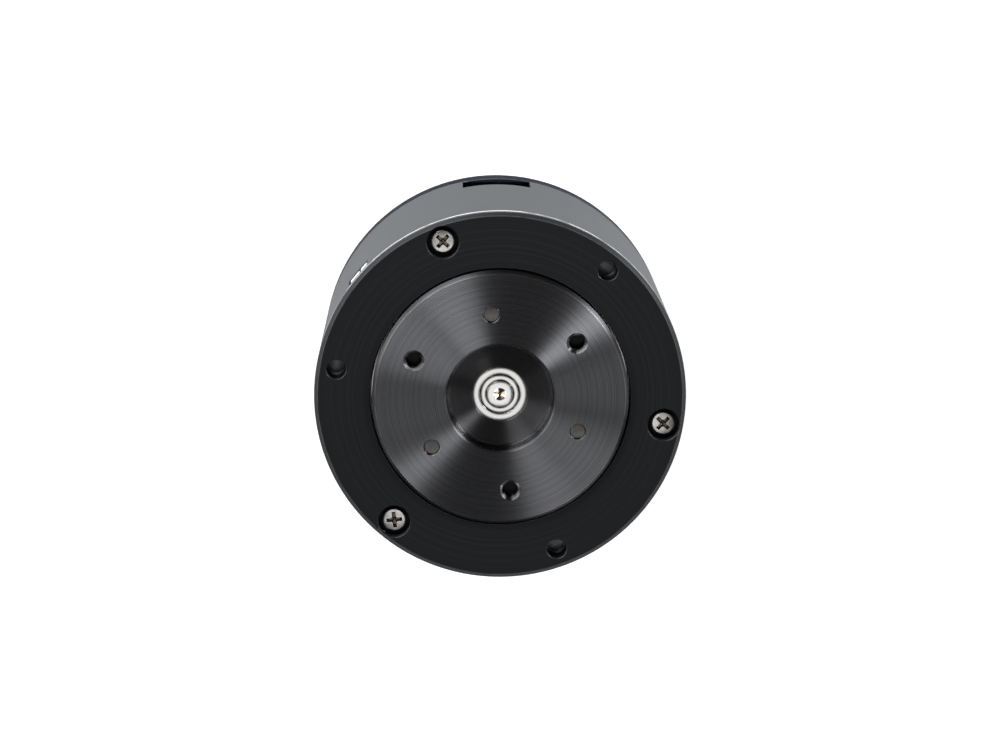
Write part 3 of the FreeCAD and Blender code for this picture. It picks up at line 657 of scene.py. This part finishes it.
def plain_hole(name, radius, floor, face, mouth, chamfer):
    """Cutter of a hole from its floor to a face, where a chamfer widens it to its mouth."""
    return turned(name, [(0, floor), (radius, floor), (radius, face - chamfer), (mouth, face),
                         (mouth, face + CUT), (0, face + CUT)], FINE_STEPS)


def slot_block(inner, z0, z1, outer=BODY_R + CUT):
    """Cutter as wide as the plug slot, between two radii and two heights."""
    size = (outer - inner, SLOT_W, z1 - z0)
    cutter = block("slot", size, ((outer + inner) / 2, 0, (z0 + z1) / 2))
    return place(cutter, SLOT_ANGLE)


def cross_cutter(z, length, width, depth):
    """Cutter of a cross recess: two arms that narrow downwards and a pointed middle."""
    over = 0.02                         # past the screw's face
    arm = block("arm", (length, width, depth + over), (0, 0, z + (over - depth) / 2), taper=0.66)
    other = place(duplicate(arm), 90)
    middle = turned("middle", [(0, z - 1.3 * depth), (0.13 * length, z - 1.05 * depth),
                               (0.22 * length, z + over), (0, z + over)], FINE_STEPS)
    return carve(arm, [other, middle], "UNION")


# ---------------------------------------------------------------- housing and plates

def make_housing():
    """Grey shell with its bright front rim, the plug slot and the pocket of the index mark."""
    gear_bore = 23.0
    ledge_r, ledge_low, ledge_top = 21.6, 29.6, 31.0
    motor_bore, motor_low = 25.6, 15.6
    board_bore = 26.2
    shell = turned("housing_shell", [
        (BODY_R - 0.3, COVER_TOP_Z, 0.06), (BODY_R, COVER_TOP_Z + 0.3, 0.08),
        (BODY_R, SEAM_Z, 0.28), (BODY_R - LIP, SEAM_Z), (BODY_R - LIP, REGISTER_Z),
        (gear_bore, REGISTER_Z), (gear_bore, ledge_top), (ledge_r, ledge_top),
        (ledge_r, ledge_low), (motor_bore, ledge_low), (motor_bore, motor_low),
        (board_bore, motor_low), (board_bore, COVER_TOP_Z)])
    pocket_h = 4.8
    pocket_drop = 0.3                   # below the seat
    pocket_z = REGISTER_Z - pocket_drop - pocket_h / 2
    pocket = block("pocket", (2 * MARK_DEPTH, MARK_W, pocket_h), (BODY_R, 0, pocket_z),
                   rounding=0.18)
    carve(shell, [slot_block(SLOT_INNER, COVER_TOP_Z - CUT, COVER_TOP_Z + SLOT_H),
                  place(pocket, MARK_ANGLE)])
    seat_hole = plain_hole("seat_hole", radius=1.15, floor=PLATE_Z - MOUNT_HOLE_DEPTH,
                           face=REGISTER_Z, mouth=1.52, chamfer=0.13)
    carve(shell, ring_of(seat_hole, MOUNT_START, MOUNT_R))
    dress(shell, "housing", "housing", "main_housing")


def make_front_plate():
    """Black ring in front: bearing seat, chamfered edge, counterbores and mounting holes."""
    register_r = BODY_R - 0.59          # just clear of the shell's lip
    spigot_r = 22.99
    bearing_r = 22.0
    plate = turned("front_ring", [
        (PLATE_BORE, PLATE_Z, 0.15), (BODY_R - PLATE_CHAMFER, PLATE_Z, 0.06),
        (BODY_R, PLATE_Z - PLATE_CHAMFER, 0.06), (BODY_R, SEAM_Z, 0.08), (register_r, SEAM_Z),
        (register_r, REGISTER_Z), (spigot_r, REGISTER_Z), (spigot_r, BEARING_Z),
        (bearing_r, BEARING_Z), (bearing_r, OUTPUT_BEARING_TOP),
        (PLATE_BORE, OUTPUT_BEARING_TOP)])
    shank_hole = 1.1
    head_room = 2.42
    mouth = 2.56
    bore = turned("counterbore", [
        (0, BEARING_Z - CUT), (shank_hole, BEARING_Z - CUT), (shank_hole, SCREW_SEAT_Z),
        (head_room, SCREW_SEAT_Z), (head_room, PLATE_Z - 0.14), (mouth, PLATE_Z),
        (mouth, PLATE_Z + CUT), (0, PLATE_Z + CUT)], FINE_STEPS)
    carve(plate, ring_of(bore, SCREW_START, MOUNT_R))
    plate_bore = plain_hole("plate_bore", radius=1.5, floor=BEARING_Z - CUT, face=PLATE_Z,
                            mouth=1.6, chamfer=0.08)
    carve(plate, ring_of(plate_bore, MOUNT_START, MOUNT_R))
    dress(plate, "housing", "plate", "front_plate")


def make_plate_screws():
    """Three pan-head screws, each turned as it was left."""
    head_h = 1.25
    crown_r = 1.62
    head = SCREW_SEAT_Z + head_h
    end = low("front_plate_screws")
    for i, turn in enumerate(SCREW_TURNS):
        screw = turned("plate_screw_%d" % (i + 1), [
            (0, end), (SCREW_TIP_R, end), (SCREW_R, end + SCREW_TIP), (SCREW_R, SCREW_SEAT_Z),
            (SCREW_HEAD_R, SCREW_SEAT_Z, 0.06), (SCREW_HEAD_R, head - 0.2, 0.1),
            (crown_r, head - 0.02, 0.12), (0, head)], FINE_STEPS)
        carve(screw, [cross_cutter(head, length=2.45, width=0.6, depth=0.85)])
        angle = SCREW_START + THIRD * i
        place(screw, angle, MOUNT_R, turn - angle)
        dress(screw, "housing", "screw", "front_plate_screws")


def make_index_mark():
    """Two white inserts, a narrow and a wide one, in the pocket in the shell's side."""
    mark_top = top("index_mark")
    mark_low = low("index_mark")
    gap = 0.36                          # between the inserts, and to the pocket's sides
    narrow_share = 0.4
    narrow = narrow_share * (MARK_W - 3 * gap)
    wide = MARK_W - 3 * gap - narrow
    floor_gap = 0.02
    sunk = 0.16                         # below the shell's side
    inner = BODY_R - MARK_DEPTH + floor_gap
    outer = BODY_R - sunk
    middles = (-MARK_W / 2 + gap + narrow / 2, MARK_W / 2 - gap - wide / 2)
    for i, (width, middle) in enumerate(zip((narrow, wide), middles)):
        insert = block("index_mark_%d" % (i + 1), (outer - inner, width, mark_top - mark_low),
                       ((outer + inner) / 2, middle, (mark_top + mark_low) / 2), rounding=0.12)
        place(insert, MARK_ANGLE)
        dress(insert, "housing", "mark", "index_mark")


def make_rear_cover():
    """Blue-grey cap with its spigot, bosses and countersunk screw holes."""
    spigot_r = 26.17
    spigot_wall = 1.2
    spigot_top = COVER_TOP_Z + 1.5
    inner_floor = 2.0
    cover = turned("rear_cap", [
        (0, 0), (BODY_R - COVER_CHAMFER, 0, 0.3), (BODY_R, COVER_CHAMFER, 0.3),
        (BODY_R, COVER_TOP_Z, 0.15), (spigot_r, COVER_TOP_Z), (spigot_r, spigot_top, 0.1),
        (spigot_r - spigot_wall, spigot_top), (spigot_r - spigot_wall, inner_floor),
        (0, inner_floor)])
    board_z = low("driver_board")
    boss_r, boss_low = 2.6, 1.0
    boss = turned("boss", [(0, boss_low), (boss_r, boss_low), (boss_r, board_z), (0, board_z)],
                  FINE_STEPS)
    carve(cover, ring_of(boss, COVER_SCREW_START, COVER_SCREW_R), "UNION")
    sink_r, shank_hole = 1.95, 1.1
    hole = turned("countersink", [
        (0, -CUT), (sink_r, -CUT), (sink_r, 0), (shank_hole, COUNTERSINK),
        (shank_hole, board_z + CUT), (0, board_z + CUT)], FINE_STEPS)
    room_r, room_low, room_wall = 25.3, 2.2, 0.6
    plug_room = slot_block(room_r, room_low, COVER_TOP_Z + CUT, BODY_R - room_wall)
    mouth = slot_block(SLOT_INNER, COVER_TOP_Z, COVER_TOP_Z + SLOT_H)
    carve(cover, [mouth, plug_room])
    carve(cover, ring_of(hole, COVER_SCREW_START, COVER_SCREW_R))
    dress(cover, "housing", "cover", "rear_cover")


def make_cover_screws():
    """Three countersunk screws, whose cross recesses open downwards."""
    face = low("rear_cover_screws")
    end = top("rear_cover_screws")
    first_turn, next_turn = 20.0, 35.0
    for i in range(COPIES):
        screw = turned("cover_screw_%d" % (i + 1), [
            (0, face), (SCREW_HEAD_R, face, 0.05), (SCREW_R, face + COUNTERSINK),
            (SCREW_R, end - SCREW_TIP), (SCREW_TIP_R, end), (0, end)], FINE_STEPS)
        cutter = cross_cutter(0, length=2.2, width=0.5, depth=0.7)
        activate(cutter)
        bpy.ops.transform.mirror(constraint_axis=(False, False, True))
        bpy.ops.transform.translate(value=(0, 0, face * MM))
        bpy.ops.object.transform_apply(location=True, rotation=True, scale=True)
        bpy.ops.object.mode_set(mode="EDIT")
        bpy.ops.mesh.select_all(action="SELECT")
        bpy.ops.mesh.normals_make_consistent(inside=False)
        bpy.ops.object.mode_set(mode="OBJECT")
        carve(screw, [cutter])
        own_turn = first_turn + next_turn * i
        place(screw, COVER_SCREW_START + THIRD * i, COVER_SCREW_R, own_turn)
        dress(screw, "housing", "screw", "rear_cover_screws")


# ---------------------------------------------------------------- output side

def make_output_disc():
    """Turned disc with the recess, the hub, three pillars and the tapped and pin holes."""
    hub_r = 17.5
    shaft_room = 3.2
    bearing_r = 4.1
    pillar_r = 3.2
    screw_hole_r = 1.02
    screw_hole_depth = 4.5
    back_z = BEARING_Z - 0.4            # of the hub, behind the plate's
    disc = turned("output_disc", [
        (8.25, FACE_Z, 0.2), (DISC_R - DISC_CHAMFER, FACE_Z, 0.05),
        (DISC_R, FACE_Z - DISC_CHAMFER, 0.05), (DISC_R, OUTPUT_BEARING_TOP),
        (hub_r, OUTPUT_BEARING_TOP), (hub_r, back_z), (shaft_room, back_z),
        (shaft_room, CENTRE_LOW), (bearing_r, CENTRE_LOW), (bearing_r, CENTRE_Z - 0.14),
        (4.28, CENTRE_Z + 0.02, 0.05), (6.2, CENTRE_Z + 0.11), (7.4, CENTRE_Z + 0.27),
        (7.9, CENTRE_Z + 0.42, 0.09)])
    pillar_top = back_z + 1.0           # a little inside the hub
    pillar = turned("pillar", [(0, PILLAR_Z), (pillar_r, PILLAR_Z), (pillar_r, pillar_top),
                               (0, pillar_top)], FINE_STEPS)
    carve(disc, ring_of(pillar, OUTPUT_START, OUTPUT_R), "UNION")
    carve(disc, ring_of(tapped_hole(FACE_Z, OUTPUT_HOLE_DEPTH), OUTPUT_START, OUTPUT_R))
    screw_end = PILLAR_Z + screw_hole_depth
    screw_hole = turned("screw_hole", [
        (0, PILLAR_Z - CUT), (screw_hole_r, PILLAR_Z - CUT), (screw_hole_r, screw_end),
        (0, screw_end)], FINE_STEPS)
    carve(disc, ring_of(screw_hole, OUTPUT_START, OUTPUT_R))
    pin_hole = plain_hole("pin_hole", radius=1.21, floor=back_z - CUT, face=FACE_Z,
                          mouth=1.27, chamfer=0.06)
    carve(disc, ring_of(pin_hole, PIN_START, PIN_R))
    dress(disc, "output", "flange", "output_flange")


def make_planet_pins():
    """Three pins with chamfered ends, just below the disc's face."""
    end = low("planet_pins")
    tip_r, radius, nose_r = 1.0, 1.2, 1.08
    for i in range(COPIES):
        pin = turned("planet_pin_%d" % (i + 1), [
            (0, end), (tip_r, end), (radius, end + 0.2), (radius, PIN_Z - 0.12, 0.05),
            (nose_r, PIN_Z, 0.05), (0, PIN_Z)], FINE_STEPS)
        place(pin, PIN_START + THIRD * i, PIN_R)
        dress(pin, "output", "pin", "planet_pins")


def make_centre_bearing():
    """Outer race, inner race, and the dark shield between them."""
    outer_r, outer_bore, rear_bore = 4.09, 3.06, 3.1
    outer = turned("centre_race_outer", [
        (outer_r, CENTRE_LOW, 0.1), (outer_r, CENTRE_Z, 0.03), (outer_bore, CENTRE_Z, 0.03),
        (outer_bore, CENTRE_Z - 0.5), (rear_bore, CENTRE_LOW + 0.5), (rear_bore, CENTRE_LOW)],
        BEARING_STEPS)
    dress(outer, "output", "bearing", "centre_bearing_outer")
    inner_r, bore, mouth = 2.87, 2.11, 2.17
    inner = turned("centre_race_inner", [
        (bore, CENTRE_LOW), (inner_r, CENTRE_LOW), (inner_r, CENTRE_Z, 0.03),
        (mouth, CENTRE_Z, 0.03), (bore, CENTRE_Z - 0.3)], BEARING_STEPS)
    dress(inner, "rotor", "bearing", "centre_bearing_inner")
    shield_r = (2.88, 3.05)
    shield_z = (CENTRE_Z - 0.4, CENTRE_Z - 0.16)
    shield = turned("centre_shield", [
        (shield_r[0], shield_z[0]), (shield_r[1], shield_z[0]), (shield_r[1], shield_z[1], 0.03),
        (shield_r[0], shield_z[1], 0.03)], BEARING_STEPS)
    dress(shield, "output", "component", "centre_bearing_outer")


def make_rotor_shaft():
    """Motor shaft with a centre drill in its front end."""
    end = low("rotor_shaft")
    tail_r, shaft_r, journal_r, nose_r = 2.2, 2.5, 2.1, 2.02
    centre_drill = [(0.95, SHAFT_Z, 0.04), (0.32, SHAFT_Z - 0.36), (0.28, SHAFT_Z - 0.55),
                    (0, SHAFT_Z - 0.65)]
    shaft = turned("motor_shaft", [
        (0, end), (tail_r, end), (shaft_r, end + 0.3), (shaft_r, CENTRE_LOW),
        (journal_r, CENTRE_LOW), (journal_r, CENTRE_Z - 0.3), (nose_r, SHAFT_Z, 0.03),
        *centre_drill], BEARING_STEPS)
    dress(shaft, "rotor", "shaft", "rotor_shaft")


# ---------------------------------------------------------------- plug and the hidden nodes

def make_connector():
    """Socket of the plug, with a keyed mouth."""
    lowest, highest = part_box("power_connector")
    size = (highest - lowest) / MM
    centre = (highest + lowest) / 2 / MM
    walls = 1.4                         # of two sides together
    back = 2.0
    key_w, key_h = 2.2, 0.5
    deep = size.y - back + CUT
    middle_y = centre.y + (back + CUT) / 2
    body = block("plug_socket", size, centre, rounding=0.2)
    mouth = block("mouth", (size.x - walls, deep, size.z - walls), (centre.x, middle_y, centre.z))
    key = block("key", (key_w, deep, key_h),
                (centre.x, middle_y, centre.z + size.z / 2 - key_h))
    carve(body, [mouth, key])
    dress(body, "housing", "connector", "power_connector")


def paint_hidden_nodes():
    """Every CAD node, shown or not, has the finish of its slot."""
    slots = {part["node"]: part["material_slot"] for part in frame["record"]["subparts"]}
    for name, node in frame["nodes"].items():
        node.data.materials.clear()
        node.data.materials.append(FINISHES[slots[name]])


# ---------------------------------------------------------------- studio

WHITE = (1, 1, 1, 1)
WORLD_LIGHT = 0.045             # strength of the world on the object
WORLD_SEEN = 1.0                # and as the camera sees it
FLOOR_SIZE = 6.0                # metres
FLOOR_GAP = 0.0002              # between the floor and the rear cover, metres
FLOOR_COLOUR = (0.82, 0.82, 0.82, 1)
FLOOR_ROUGH = 0.8
FLOOR_GLOW = 0.55               # added for the camera and in reflections
LAMP_DISTANCE = 0.9             # from the front plate, metres
LAMPS = (                       # name, azimuth, lean, wide, tall, radiance
    ("right_key", 30, 65, 14, 26, 23.0),
    ("right_fill", -5, 65, 30, 26, 2.3),
    ("left_key", 121, 65, 36, 26, 8.4),
    ("left_side", 160, 65, 38, 26, 7.0),
    ("left_low", 203, 65, 44, 26, 1.4),
    ("right_low", 305, 65, 40, 26, 1.85),
    ("left_high", 126, 32, 22, 12, 3.0),
    ("overhead", 270, 10.8, 75, 14, 0.84),
)


def softbox(name, azimuth, lean, wide, tall, radiance):
    """A light that faces the plate, at an azimuth from +X and a lean from the axis, in degrees.

    wide and tall are the angles that it covers round the axis and towards it.
    """
    across = math.sin(math.radians(lean))
    size = (LAMP_DISTANCE * across * math.radians(wide), LAMP_DISTANCE * math.radians(tall))
    data = bpy.data.lights.new(name, "AREA")
    data.shape = "RECTANGLE"
    data.size, data.size_y = size
    data.energy = radiance * math.pi * size[0] * size[1]
    light = bpy.data.objects.new(name, data)
    way = Vector((across * math.cos(math.radians(azimuth)),
                  across * math.sin(math.radians(azimuth)), math.cos(math.radians(lean))))
    light.location = Vector((0, 0, PLATE_Z * MM)) + way * LAMP_DISTANCE
    light.rotation_euler = way.to_track_quat("Z", "Y").to_euler()
    bpy.context.scene.collection.objects.link(light)


def add_floor():
    """Pale floor that glows a little to the camera and in reflections and keeps the shadow."""
    bpy.ops.object.select_all(action="DESELECT")
    bpy.ops.mesh.primitive_plane_add(size=FLOOR_SIZE,
                                     location=(0, 0, cad_bounds[0][2] - FLOOR_GAP))
    floor = bpy.context.object
    floor.name = "floor"
    material = bpy.data.materials.new("pale_floor")
    material.use_nodes = True
    tree = material.node_tree
    shader = next(n for n in tree.nodes if n.type == "BSDF_PRINCIPLED")
    shader.inputs["Base Color"].default_value = FLOOR_COLOUR
    shader.inputs["Roughness"].default_value = FLOOR_ROUGH
    ray = add(tree, "ShaderNodeLightPath")
    seen = math_node(tree, "MAXIMUM", ray.outputs["Is Camera Ray"], ray.outputs["Is Glossy Ray"])
    strength = math_node(tree, "MULTIPLY", seen, FLOOR_GLOW)
    tree.links.new(strength, shader.inputs["Emission Strength"])
    shader.inputs["Emission Color"].default_value = WHITE
    floor.data.materials.append(material)


def light_studio():
    """The world, white to the camera and faint on the object, and the lamps."""
    world = bpy.data.worlds.new("studio")
    world.use_nodes = True
    bpy.context.scene.world = world
    tree = world.node_tree
    background = next(n for n in tree.nodes if n.type == "BACKGROUND")
    background.inputs["Color"].default_value = WHITE
    ray = add(tree, "ShaderNodeLightPath")
    strength = map_range(tree, ray.outputs["Is Camera Ray"], target=(WORLD_LIGHT, WORLD_SEEN))
    tree.links.new(strength, background.inputs["Strength"])
    for lamp in LAMPS:
        softbox(*lamp)


make_housing()
make_front_plate()
make_plate_screws()
make_index_mark()
make_rear_cover()
make_cover_screws()
make_output_disc()
make_planet_pins()
make_centre_bearing()
make_rotor_shaft()
make_connector()
paint_hidden_nodes()
add_floor()
light_studio()

bpy.context.scene.view_settings.view_transform = "Standard"
